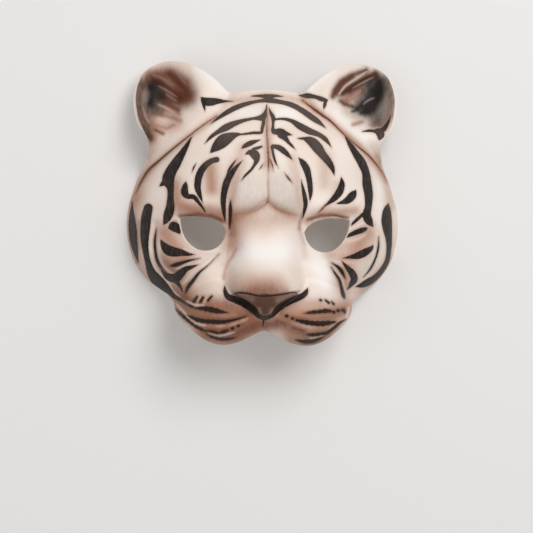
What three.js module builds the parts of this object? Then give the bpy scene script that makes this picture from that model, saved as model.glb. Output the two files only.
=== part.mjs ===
// Tiger half mask: one sheet of foam, heat-moulded into a tiger's upper face with two ears and cut out round its edge
// and round both eyes. It lies on the rims of its two sides with the face up: +X is across the face, +Y runs from the
// muzzle to the ears, and +Z comes out of the face. Every size is in millimetres.
//
// The face is worked out as a height above the table over a flat plan. The plan's own origin is the middle of the
// face, between the eyes, and PLAN_Y carries it into the part's frame, whose origin is the middle of the outline.
import * as THREE from "three";

const PLAN_Y = -8.7; // the middle of the face lies this far below the middle of the whole outline
const SHEET = 3; // thickness of the foam

// The dome of the face: its height over the rims, how square its shoulders are (2 is a ball), and how much of its
// quarter-round is used, which limits the steepness of its edge.
const DOME = { crown: 64, power: 2.3, share: 0.97, outside: 260 };

// The dome's edge by direction, in degrees above the line across the eyes: its radius and its height over the table.
// The sides come down to the table, the brow and the jaw stay above it.
const DOME_RADIUS = [
  [-90, 66], [-62, 70], [-52, 76], [-45, 79], [-40, 78.7], [-35, 81.1], [-29, 84.4], [-22.7, 86.7], [-16, 87.9],
  [-5, 87.9], [2.6, 86.9], [10, 85.2], [18, 84.4], [26, 84.4], [35, 85.8], [45, 86], [55, 85], [64, 83], [73, 81],
  [81, 80], [90, 79.7],
];
const DOME_EDGE = [
  [-90, 50], [-60, 42], [-45, 28], [-38, 14], [-31, 3.5], [-25, 0], [14, 0], [20, 3], [28, 10], [38, 18], [50, 24],
  [73, 28], [90, 30],
];

// The ridge of the nose from the brow down: its height, its half width and how far its flanks drop, by y.
const NOSE_LINE = [
  [-82, 30], [-72, 58], [-66, 72], [-61, 81], [-56, 87], [-52, 90.4], [-48.5, 92], [-44, 90.8], [-37, 85.5],
  [-28, 78], [-18, 71], [-8, 65.5], [4, 60.5], [12, 57], [22, 46], [40, 0],
];
const NOSE_HALF_WIDTH = [
  [-66, 6.5], [-62, 8.5], [-58, 12], [-54, 16.5], [-50, 21.5], [-45, 25.3], [-38, 25.5], [-25, 23.5], [-12, 21],
  [0, 18], [12, 14],
];
const NOSE_DROP = [[-66, 7], [-58, 16], [-52, 27], [-45, 33], [-38, 31], [-25, 24], [-12, 16], [0, 12], [12, 10]];
const NOSE = { power: 3, blend: 5 };

// The two whisker pads of the muzzle: parts of an ellipsoid that meet in the cleft under the nose.
const PAD = { x: 20, y: -61, halfWidth: 37.5, halfHeight: 27, base: 20, rise: 60, outside: 120, blend: 8 };

// The ears: two tilted cups that grow out of the upper sides. They run down into the side rims as a narrow flange.
const EAR = { x: 58, y: 73, height: 31, leanOut: -0.2, leanUp: -0.4, blend: 5 };
const EAR_CUP = { x: 65, y: 72, halfWidth: 15, halfHeight: 20, rise: -13, power: 1.4 };
const EAR_FOLD = { x: 40, y: 79, halfWidth: 9, halfHeight: 13, rise: 5, power: 1 };
const FLANGE = { top: 56, bottom: 16, drop: 51, runOut: 1.5 };

// Soft swellings and hollows of the face, given for the right half and mirrored: where, how large, how high.
const SWELLINGS = {
  browLobe: { x: 11, y: 15, halfWidth: 12, halfHeight: 16, rise: 5.5, power: 1.15 },
  browRidge: { x: 43, y: 6, halfWidth: 18, halfHeight: 7.5, rise: 4.5, power: 1 },
  eyeSocket: { x: 40, y: -12, halfWidth: 19, halfHeight: 13, rise: -12, power: 1 },
  cheek: { x: 46, y: -36, halfWidth: 15, halfHeight: 11, rise: 4, power: 1 },
  ruff: { x: 77, y: -22, halfWidth: 8, halfHeight: 22, rise: 2, power: 1 },
};

// Grooves pressed into the right half and mirrored: the path, the depth and the half width.
const GROOVES = {
  browFurrow: { path: [[0, 38], [0, 9]], depth: 1.2, halfWidth: 2.8 },
  lobeFold: { path: [[0, 9], [4, 5.6], [9, 2.6], [19, -0.6]], depth: 2, halfWidth: 2.8 },
  lobeSide: { path: [[15.5, 32], [20, 20], [22.3, 9], [22.5, -4]], depth: 1.6, halfWidth: 2.8 },
  nostril: {
    path: [[26, -43.8], [24, -48.5], [19, -51.2], [13.5, -53.6], [9.5, -56.2], [7.5, -58.5]],
    depth: 3.4, halfWidth: 2.6,
  },
  mouthCleft: { path: [[0, -67], [0, -75]], depth: 4, halfWidth: 3 },
  earCrease: { path: [[23, 78], [31.4, 64.5], [51, 50], [67, 36.5], [75, 27]], depth: 2.4, halfWidth: 3 },
  ruffGroove: { path: [[69, -6], [70.5, -20], [68, -31], [62, -40], [55, -46], [53, -53]], depth: 2.4, halfWidth: 2.5 },
  whiskerFold: { path: [[18, -66], [30, -68.5], [43, -65.5], [52, -60]], depth: 1.4, halfWidth: 2.4 },
};
const SIDE_CALM = 16; // swellings and grooves fade out below this height, so that the rims lie flat on the table

// The outline of the right half between the stretches that follow the dome: the ear, and the muzzle up to the mouth.
const BROW_STRETCH = [90, 74]; // directions between which the outline is the dome's own edge, over the brow
const EAR_OUTLINE = [
  [25.3, 79.6], [31.5, 85.6], [38.5, 91], [46.8, 95.6], [55.3, 98], [63.8, 98], [71.6, 95.4], [77.8, 90.6], [81, 84],
  [82.5, 76], [82, 68], [80.3, 60], [77, 53], [74.2, 47.5], [73.5, 42.5], [75, 36.5], [77.8, 29.6],
];
const SIDE_STRETCH = [14, -41]; // directions between which it is the dome's edge again, down the side
const MUZZLE_OUTLINE = [
  [56.6, -55], [55.6, -60], [52, -65.5], [45.7, -71.5], [39, -76.6], [32, -80], [24, -80.8], [16.6, -79], [9.9, -75.8],
  [4.6, -73], [0, -71.6],
];

// The right eye hole, from its inner corner up over the lid to the outer corner, and from there round below.
const EYE_LID = [
  [24.2, -10.2], [25.8, -7.2], [29, -4.4], [34, -2.2], [40, -1.1], [46, -0.9], [50.5, -1.3], [54.2, -2.4],
];
const EYE_BELOW = [
  [54.2, -2.4], [53.4, -8], [50.9, -14], [46.6, -19], [41, -22], [35, -22.2], [29.6, -19.8], [26, -15.4], [24.2, -10.2],
];

// How finely the sheet is faceted: the step along its edges, the grid that its other corners are chosen from, and how
// many corners the right half of the face gets.
const EDGE_STEP = 3.6;
const EYE_STEP = 2.8;
const GRID_STEP = 1.3;
const EDGE_CLEAR = 0.6; // no inner corner stands closer to an edge than this share of the edge's step
const CORNERS = 1180;
const SPREAD = 0.35; // how far the chart that is triangulated spreads out the steep outer sides

const clamp = (value, low, high) => Math.min(Math.max(value, low), high);
const smoothStep = (from, to, value) => {
  const t = clamp((value - from) / (to - from), 0, 1);
  return t * t * (3 - 2 * t);
};
const smoothMax = (a, b, blend) => {
  const overlap = Math.max(blend - Math.abs(a - b), 0) / blend;
  return Math.max(a, b) + (overlap * overlap * blend) / 4;
};

// A smooth function through [key, value] pairs, level at and beyond both ends.
function through(pairs) {
  const last = pairs.length - 1;
  const slopes = pairs.map((pair, i) => {
    if (i === 0 || i === last) return 0;
    return (pairs[i + 1][1] - pairs[i - 1][1]) / (pairs[i + 1][0] - pairs[i - 1][0]);
  });
  return (wanted) => {
    const key = clamp(wanted, pairs[0][0], pairs[last][0]);
    const next = pairs.findIndex((pair) => pair[0] > key);
    const i = next < 0 ? last - 1 : next - 1;
    const step = pairs[i + 1][0] - pairs[i][0];
    const t = (key - pairs[i][0]) / step;
    const bow = t * (1 - t) * step * (slopes[i] * (1 - t) - slopes[i + 1] * t);
    return THREE.MathUtils.lerp(pairs[i][1], pairs[i + 1][1], smoothStep(0, 1, t)) + bow;
  };
}

const domeRadius = through(DOME_RADIUS);
const domeEdge = through(DOME_EDGE);
const noseLine = through(NOSE_LINE);
const noseHalfWidth = through(NOSE_HALF_WIDTH);
const noseDrop = through(NOSE_DROP);
const directionOf = (x, y) => THREE.MathUtils.radToDeg(Math.atan2(y, x));

// A rounded hill or hollow; a power above 1 flattens its top and steepens its flank.
function swelling(form, x, y) {
  const q = ((x - form.x) / form.halfWidth) ** 2 + ((y - form.y) / form.halfHeight) ** 2;
  return form.rise * Math.exp(-(q ** form.power));
}

function distanceToPath(path, x, y) {
  let nearest = Infinity;
  for (let i = 0; i + 1 < path.length; i++) {
    const [ax, ay] = path[i];
    const [dx, dy] = [path[i + 1][0] - ax, path[i + 1][1] - ay];
    const t = clamp(((x - ax) * dx + (y - ay) * dy) / (dx * dx + dy * dy), 0, 1);
    nearest = Math.min(nearest, Math.hypot(x - ax - t * dx, y - ay - t * dy));
  }
  return nearest;
}

const quarterRound = (reach) => Math.sqrt(1 - (DOME.share * Math.min(reach, 1)) ** DOME.power);

function dome(x, y) {
  const direction = directionOf(x, y);
  const reach = Math.hypot(x, y) / domeRadius(direction);
  const edge = domeEdge(direction);
  const rise = (quarterRound(reach) - quarterRound(1)) / (1 - quarterRound(1));
  return edge + (DOME.crown - edge) * rise - DOME.outside * Math.max(0, reach - 1);
}

function ear(x, y) {
  const plane = EAR.height + EAR.leanOut * (x - EAR.x) + EAR.leanUp * (y - EAR.y);
  const flange = FLANGE.drop * smoothStep(FLANGE.top, FLANGE.bottom, y);
  const runOut = FLANGE.runOut * Math.max(0, FLANGE.bottom - y);
  return plane + swelling(EAR_CUP, x, y) + swelling(EAR_FOLD, x, y) - flange - runOut;
}

function pad(x, y) {
  const q = ((x - PAD.x) / PAD.halfWidth) ** 2 + ((y - PAD.y) / PAD.halfHeight) ** 2;
  return PAD.base + PAD.rise * Math.sqrt(Math.max(0, 1 - q)) - PAD.outside * Math.max(0, q - 1);
}

function nose(x, y) {
  return noseLine(y) - noseDrop(y) * (x / noseHalfWidth(y)) ** NOSE.power;
}

// Height of the mask's face over the table at a point of the plan.
function height(wantedX, y) {
  const x = Math.abs(wantedX);
  const earBlend = EAR.blend * Math.max(0.1, smoothStep(FLANGE.bottom, FLANGE.top, y));
  let z = smoothMax(dome(x, y), ear(x, y), earBlend);
  const calm = smoothStep(0, SIDE_CALM, z);
  for (const form of Object.values(SWELLINGS)) z += calm * swelling(form, x, y);
  z = smoothMax(z, pad(x, y), PAD.blend);
  z = smoothMax(z, nose(x, y), NOSE.blend);
  for (const groove of Object.values(GROOVES)) {
    z -= calm * groove.depth * Math.exp(-((distanceToPath(groove.path, x, y) / groove.halfWidth) ** 2));
  }
  return Math.max(z, 0);
}

const onFace = ([x, y]) => new THREE.Vector3(x, y, height(x, y));

// Points at even steps along a smooth curve through the given points of the plan, laid on the face. The steps are
// measured in space, and the last point is left to the next curve.
function evenly(points, step) {
  const curve = new THREE.CatmullRomCurve3(points.map(([x, y]) => new THREE.Vector3(x, y, 0)), false, "centripetal");
  const fine = curve.getPoints(40 * points.length).map(({ x, y }) => onFace([x, y]));
  const lengths = [0];
  for (let i = 1; i < fine.length; i++) lengths.push(lengths[i - 1] + fine[i].distanceTo(fine[i - 1]));
  const whole = lengths[lengths.length - 1];
  const count = Math.max(2, Math.round(whole / step));
  return Array.from({ length: count }, (_, k) => {
    const at = fine[lengths.findIndex((length) => length >= (whole * k) / count)];
    return [at.x, at.y];
  });
}

function domeStretch([from, to]) {
  const count = 12;
  return Array.from({ length: count + 1 }, (_, i) => {
    const direction = THREE.MathUtils.lerp(from, to, i / count);
    const angle = THREE.MathUtils.degToRad(direction);
    return [domeRadius(direction) * Math.cos(angle), domeRadius(direction) * Math.sin(angle)];
  });
}

function isInside(loop, [x, y]) {
  let inside = false;
  for (let i = 0, j = loop.length - 1; i < loop.length; j = i++) {
    const [ax, ay] = loop[i];
    const [bx, by] = loop[j];
    if (ay > y !== by > y && x < ((bx - ax) * (y - ay)) / (by - ay) + ax) inside = !inside;
  }
  return inside;
}

// The right half's edges: the outline from the brow to the mouth, the middle back up to the brow, and the eye hole.
const brow = domeStretch(BROW_STRETCH);
const rim = [
  ...evenly([...brow, EAR_OUTLINE[0]], EDGE_STEP),
  ...evenly([...EAR_OUTLINE, ...domeStretch(SIDE_STRETCH), MUZZLE_OUTLINE[0]], EDGE_STEP),
  ...evenly(MUZZLE_OUTLINE, EDGE_STEP),
];
const middle = evenly([MUZZLE_OUTLINE[MUZZLE_OUTLINE.length - 1], [0, 0], brow[0]], EYE_STEP);
const outline = [...rim, ...middle];
const eye = [...evenly(EYE_LID, EYE_STEP), ...evenly(EYE_BELOW, EYE_STEP)];
const isOnMiddle = (i) => i === 0 || (i >= rim.length && i < outline.length);
const MIDDLE_BOW = 1; // the chart bows its middle line in this far, so that no three of its corners lie in line

// How far the outline lies from the face's middle in any direction.
function outlineRadius(x, y) {
  const direction = directionOf(x, y);
  const wrapped = outline.findIndex((point, i) => {
    const next = outline[i + 1];
    return next && directionOf(...next) <= direction;
  });
  const i = wrapped < 0 ? rim.length - 1 : wrapped;
  const [a, b] = [directionOf(...outline[i]), directionOf(...outline[i + 1])];
  const t = clamp((direction - a) / (b - a || 1), 0, 1);
  return THREE.MathUtils.lerp(Math.hypot(...outline[i]), Math.hypot(...outline[i + 1]), t);
}

// The chart on which the face is triangulated: the plan with its steep outer sides spread out.
function toChart([x, y]) {
  const reach = Math.hypot(x, y) / outlineRadius(x, y);
  const spread = 1 + SPREAD * reach ** 4;
  return [x * spread, y * spread];
}

// Delaunay triangles on the chart. Each one keeps the candidates that fall into it and how far the farthest of them
// stands off its flat facet, and the farthest of all is always the next corner.
class Facets {
  constructor(corners, candidates) {
    this.points = [];
    this.frame = [[-4000, -4100], [3900, -4000], [200, 4200]];
    this.triangles = new Set([this.facet([-3, -2, -1], candidates)]);
    corners.forEach(([x, y], i) => {
      const bow = isOnMiddle(i) ? MIDDLE_BOW * Math.cos(y / 60) : 0;
      this.add({ plan: [x, y], chart: toChart([x + bow, y]), space: onFace([x, y]) });
    });
  }

  chartOf(i) {
    return i < 0 ? this.frame[i + 3] : this.points[i].chart;
  }

  facet(corners, candidates) {
    const [[ax, ay], [bx, by], [cx, cy]] = corners.map((corner) => this.chartOf(corner));
    const d = 2 * ((bx - ax) * (cy - ay) - (by - ay) * (cx - ax));
    const b2 = (bx - ax) ** 2 + (by - ay) ** 2;
    const c2 = (cx - ax) ** 2 + (cy - ay) ** 2;
    const [ux, uy] = [((cy - ay) * b2 - (by - ay) * c2) / d, ((bx - ax) * c2 - (cx - ax) * b2) / d];
    const held = candidates.filter(({ chart: [x, y] }) => {
      const sides = [[ax, ay, bx, by], [bx, by, cx, cy], [cx, cy, ax, ay]];
      return sides.every(([fx, fy, tx, ty]) => (tx - fx) * (y - fy) - (ty - fy) * (x - fx) >= 0);
    });
    const facet = { corners, x: ax + ux, y: ay + uy, r2: ux * ux + uy * uy, held, worst: -1, farthest: null };
    if (corners.every((corner) => corner >= 0)) {
      const plane = new THREE.Plane().setFromCoplanarPoints(...corners.map((corner) => this.points[corner].space));
      for (const candidate of held) {
        const off = Math.abs(plane.distanceToPoint(candidate.space));
        if (off > facet.worst) [facet.worst, facet.farthest] = [off, candidate];
      }
    }
    return facet;
  }

  add(point) {
    this.points.push(point);
    const [x, y] = point.chart;
    const open = new Map();
    const freed = new Set();
    for (const facet of this.triangles) {
      if ((x - facet.x) ** 2 + (y - facet.y) ** 2 > facet.r2) continue;
      this.triangles.delete(facet);
      for (const candidate of facet.held) freed.add(candidate);
      const [a, b, c] = facet.corners;
      for (const [from, to] of [[a, b], [b, c], [c, a]]) {
        if (!open.delete(`${to},${from}`)) open.set(`${from},${to}`, [from, to]);
      }
    }
    freed.delete(point);
    for (const [from, to] of open.values()) {
      this.triangles.add(this.facet([from, to, this.points.length - 1], [...freed]));
    }
  }

  refine(count) {
    while (this.points.length < count) {
      let worst = null;
      for (const facet of this.triangles) {
        if (facet.farthest && (!worst || facet.worst > worst.worst)) worst = facet;
      }
      this.add(worst.farthest);
    }
  }
}

// Corners that the facets may use, with a tiny fixed shift so that no four lie exactly on one circle.
function candidates() {
  const found = [];
  const size = Math.ceil(110 / GRID_STEP);
  for (let row = -size; row <= size; row++) {
    for (let column = 0; column <= size; column++) {
      const x = GRID_STEP * (column + 0.5 * (row & 1)) + 0.04 * Math.sin(12.9898 * row + 4.1 * column);
      const y = GRID_STEP * row + 0.04 * Math.sin(78.233 * column + 2.7 * row);
      if (x <= 0 || !isInside(outline, [x, y]) || isInside(eye, [x, y])) continue;
      if (distanceToPath([...outline, outline[0]], x, y) < EDGE_CLEAR * EDGE_STEP) continue;
      if (distanceToPath([...eye, eye[0]], x, y) < EDGE_CLEAR * EYE_STEP) continue;
      found.push({ plan: [x, y], chart: toChart([x, y]), space: onFace([x, y]) });
    }
  }
  return found;
}

// Both halves of the face joined in the middle: points in space and triangles that face out.
function wholeFace() {
  const facets = new Facets([...outline, ...eye], candidates());
  facets.refine(CORNERS);
  const space = facets.points.map((point, i) => (isOnMiddle(i) ? onFace([0, point.plan[1]]) : point.space));
  const right = [...facets.triangles].map((facet) => facet.corners).filter((corners) => {
    if (corners.some((corner) => corner < 0) || corners.every(isOnMiddle)) return false;
    const centre = [0, 1].map((k) => corners.reduce((sum, corner) => sum + facets.points[corner].plan[k] / 3, 0));
    return isInside(outline, centre) && !isInside(eye, centre);
  });
  const mirrored = facets.points.map((point, i) => {
    if (isOnMiddle(i)) return i;
    space.push(new THREE.Vector3(-space[i].x, space[i].y, space[i].z));
    return space.length - 1;
  });
  return { space, triangles: [...right, ...right.map(([a, b, c]) => [mirrored[a], mirrored[c], mirrored[b]])] };
}

// Directions in which the sheet's inner side lies behind each point, evened out so that it stays smooth at creases.
function outwards(space, triangles) {
  let normals = space.map(() => new THREE.Vector3());
  for (const [a, b, c] of triangles) {
    const across = space[b].clone().sub(space[a]).cross(space[c].clone().sub(space[a]));
    for (const corner of [a, b, c]) normals[corner].add(across);
  }
  normals.forEach((normal) => normal.normalize());
  for (let pass = 0; pass < 2; pass++) {
    const evened = normals.map((normal) => normal.clone().multiplyScalar(2));
    for (const [a, b, c] of triangles) {
      for (const [from, to] of [[a, b], [b, c], [c, a]]) evened[from].addScaledVector(normals[to], 0.5);
    }
    normals = evened.map((normal) => normal.normalize());
  }
  normals.forEach((normal, i) => {
    normal.z *= smoothStep(0, 10, space[i].z); // the rims on the table are cut level
    normal.normalize();
  });
  return normals;
}

// The moulded sheet: the face, its inner side one thickness behind it, and the cut edges between the two.
function sheetGeometry() {
  const { space, triangles } = wholeFace();
  const normals = outwards(space, triangles);
  const inner = space.map((point, i) => point.clone().addScaledVector(normals[i], -SHEET));
  const count = space.length;
  const edges = new Map();
  for (const [a, b, c] of triangles) {
    for (const [from, to] of [[a, b], [b, c], [c, a]]) {
      if (!edges.delete(`${to},${from}`)) edges.set(`${from},${to}`, [from, to]);
    }
  }
  const faces = triangles.flatMap(([a, b, c]) => [a, b, c, a + count, c + count, b + count]);
  for (const [from, to] of edges.values()) faces.push(to, from, from + count, to, from + count, to + count);
  const geometry = new THREE.BufferGeometry().setFromPoints([...space, ...inner]);
  geometry.setIndex(faces);
  geometry.computeVertexNormals();
  return geometry;
}

const paintedFoam = new THREE.MeshStandardMaterial({ color: 0xe6d6cb, roughness: 0.62, metalness: 0 });

const tigerMask = new THREE.Mesh(sheetGeometry(), paintedFoam);
tigerMask.name = "tiger_half_mask";
tigerMask.position.y = PLAN_Y;

const part = new THREE.Group();
part.add(tigerMask);

export default part;
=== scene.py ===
# The painted skin of the tiger half mask: a fine mesh with its creases, cut edges and paint.
import math

import bpy
import numpy as np
from mathutils import Matrix
from mathutils.geometry import delaunay_2d_cdt


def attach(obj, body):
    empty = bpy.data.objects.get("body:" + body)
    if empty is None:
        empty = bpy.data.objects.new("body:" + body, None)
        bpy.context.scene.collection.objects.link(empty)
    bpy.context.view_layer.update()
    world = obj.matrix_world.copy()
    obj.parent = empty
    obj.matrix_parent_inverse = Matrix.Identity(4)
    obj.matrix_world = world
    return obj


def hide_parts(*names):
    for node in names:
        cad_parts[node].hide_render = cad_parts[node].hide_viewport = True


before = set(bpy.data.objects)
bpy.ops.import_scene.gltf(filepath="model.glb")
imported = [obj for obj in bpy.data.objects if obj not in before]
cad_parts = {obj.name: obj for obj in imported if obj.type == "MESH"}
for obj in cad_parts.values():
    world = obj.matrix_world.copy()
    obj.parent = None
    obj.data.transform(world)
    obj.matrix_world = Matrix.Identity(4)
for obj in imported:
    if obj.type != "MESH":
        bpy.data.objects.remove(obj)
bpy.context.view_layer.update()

MM = 0.001
TINY = 1e-12

# The moulding, in millimetres on the plan of the face. PLAN_Y carries the plan into the frame.
PLAN_Y = -8.7
SHEET = 3.0
DOME_CROWN, DOME_POWER, DOME_SHARE, DOME_OUTSIDE = 64, 2.3, 0.97, 260
DOME_STEPS = 12
DOME_RADIUS = [
    (-90, 66), (-62, 70), (-52, 76), (-45, 79), (-40, 78.7), (-35, 81.1), (-29, 84.4), (-22.7, 86.7),
    (-16, 87.9), (-5, 87.9), (2.6, 86.9), (10, 85.2), (18, 84.4), (26, 84.4), (35, 85.8), (45, 86),
    (55, 85), (64, 83), (73, 81), (81, 80), (90, 79.7),
]
DOME_EDGE = [
    (-90, 50), (-60, 42), (-45, 28), (-38, 14), (-31, 3.5), (-25, 0), (14, 0), (20, 3), (28, 10), (38, 18),
    (50, 24), (73, 28), (90, 30),
]
NOSE_LINE = [
    (-82, 30), (-72, 58), (-66, 72), (-61, 81), (-56, 87), (-52, 90.4), (-48.5, 92), (-44, 90.8),
    (-37, 85.5), (-28, 78), (-18, 71), (-8, 65.5), (4, 60.5), (12, 57), (22, 46), (40, 0),
]
NOSE_HALF_WIDTH = [
    (-66, 6.5), (-62, 8.5), (-58, 12), (-54, 16.5), (-50, 21.5), (-45, 25.3), (-38, 25.5), (-25, 23.5),
    (-12, 21), (0, 18), (12, 14),
]
NOSE_DROP = [(-66, 7), (-58, 16), (-52, 27), (-45, 33), (-38, 31), (-25, 24), (-12, 16), (0, 12), (12, 10)]
NOSE_POWER, NOSE_BLEND = 3, 5
PAD = {"at": (20, -61), "half": (37.5, 27), "base": 20, "rise": 60, "outside": 120, "blend": 8}
EAR = {"at": (58, 73), "height": 31, "lean": (-0.2, -0.4), "blend": 5, "least_blend": 0.1}
FLANGE = {"top": 56, "bottom": 16, "drop": 51, "run_out": 1.5}
# A swelling: x, y, half width, half height, rise, power.
EAR_SWELLINGS = [(65, 72, 15, 20, -13, 1.4), (40, 79, 9, 13, 5, 1)]
FACE_SWELLINGS = [
    (11, 15, 12, 16, 5.5, 1.15),
    (43, 6, 18, 7.5, 4.5, 1),
    (40, -12, 19, 13, -12, 1),
    (46, -36, 15, 11, 4, 1),
    (77, -22, 8, 22, 2, 1),
]
GROOVES = [  # path, depth, half width
    ([(0, 38), (0, 9)], 1.2, 2.8),
    ([(0, 9), (4, 5.6), (9, 2.6), (19, -0.6)], 2, 2.8),
    ([(15.5, 32), (20, 20), (22.3, 9), (22.5, -4)], 1.6, 2.8),
    ([(26, -43.8), (24, -48.5), (19, -51.2), (13.5, -53.6), (9.5, -56.2), (7.5, -58.5)], 3.4, 2.6),
    ([(0, -67), (0, -75)], 4, 3),
    ([(23, 78), (31.4, 64.5), (51, 50), (67, 36.5), (75, 27)], 2.4, 3),
    ([(69, -6), (70.5, -20), (68, -31), (62, -40), (55, -46), (53, -53)], 2.4, 2.5),
    ([(18, -66), (30, -68.5), (43, -65.5), (52, -60)], 1.4, 2.4),
]
SIDE_CALM = 16
BROW_STRETCH = (90, 74)
SIDE_STRETCH = (14, -41)
EAR_OUTLINE = [
    (25.3, 79.6), (31.5, 85.6), (38.5, 91), (46.8, 95.6), (55.3, 98), (63.8, 98), (71.6, 95.4),
    (77.8, 90.6), (81, 84), (82.5, 76), (82, 68), (80.3, 60), (77, 53), (74.2, 47.5), (73.5, 42.5),
    (75, 36.5), (77.8, 29.6),
]
MUZZLE_OUTLINE = [
    (56.6, -55), (55.6, -60), (52, -65.5), (45.7, -71.5), (39, -76.6), (32, -80), (24, -80.8), (16.6, -79),
    (9.9, -75.8), (4.6, -73), (0, -71.6),
]
EYE_LID = [
    (24.2, -10.2), (25.8, -7.2), (29, -4.4), (34, -2.2), (40, -1.1), (46, -0.9), (50.5, -1.3), (54.2, -2.4),
]
EYE_BELOW = [
    (54.2, -2.4), (53.4, -8), (50.9, -14), (46.6, -19), (41, -22), (35, -22.2), (29.6, -19.8), (26, -15.4),
    (24.2, -10.2),
]

# The camera stands over the mask, a little aside and turned, as the face in the picture leans.
CAMERA_AIM = (2.4, -40.4, 15)
CAMERA_FAR = 1685
CAMERA_ASIDE = math.radians(2)
CAMERA_TURN = math.radians(0.8)
PICTURE = 533  # pixels across the picture
PICTURE_MM = 0.64  # millimetres to a pixel where the camera aims
SENSOR = 36

# The paint is drawn on a flat template that is laid over the face as the camera sees it. Its unit is UNIT of
# a pixel, counted right and down from the corner TEMPLATE_CORNER of the picture.
TEMPLATE_CORNER = (120, 50)
UNIT = 1 / 5.228
UNIT_MM = UNIT * PICTURE_MM

EAR_SIDE_LEFT = [(112, 180), (96, 270), (108, 340), (135, 400), (150, 450)]
EAR_SIDE_RIGHT = [(1398, 155), (1420, 250), (1408, 340), (1372, 390), (1330, 385)]

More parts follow.
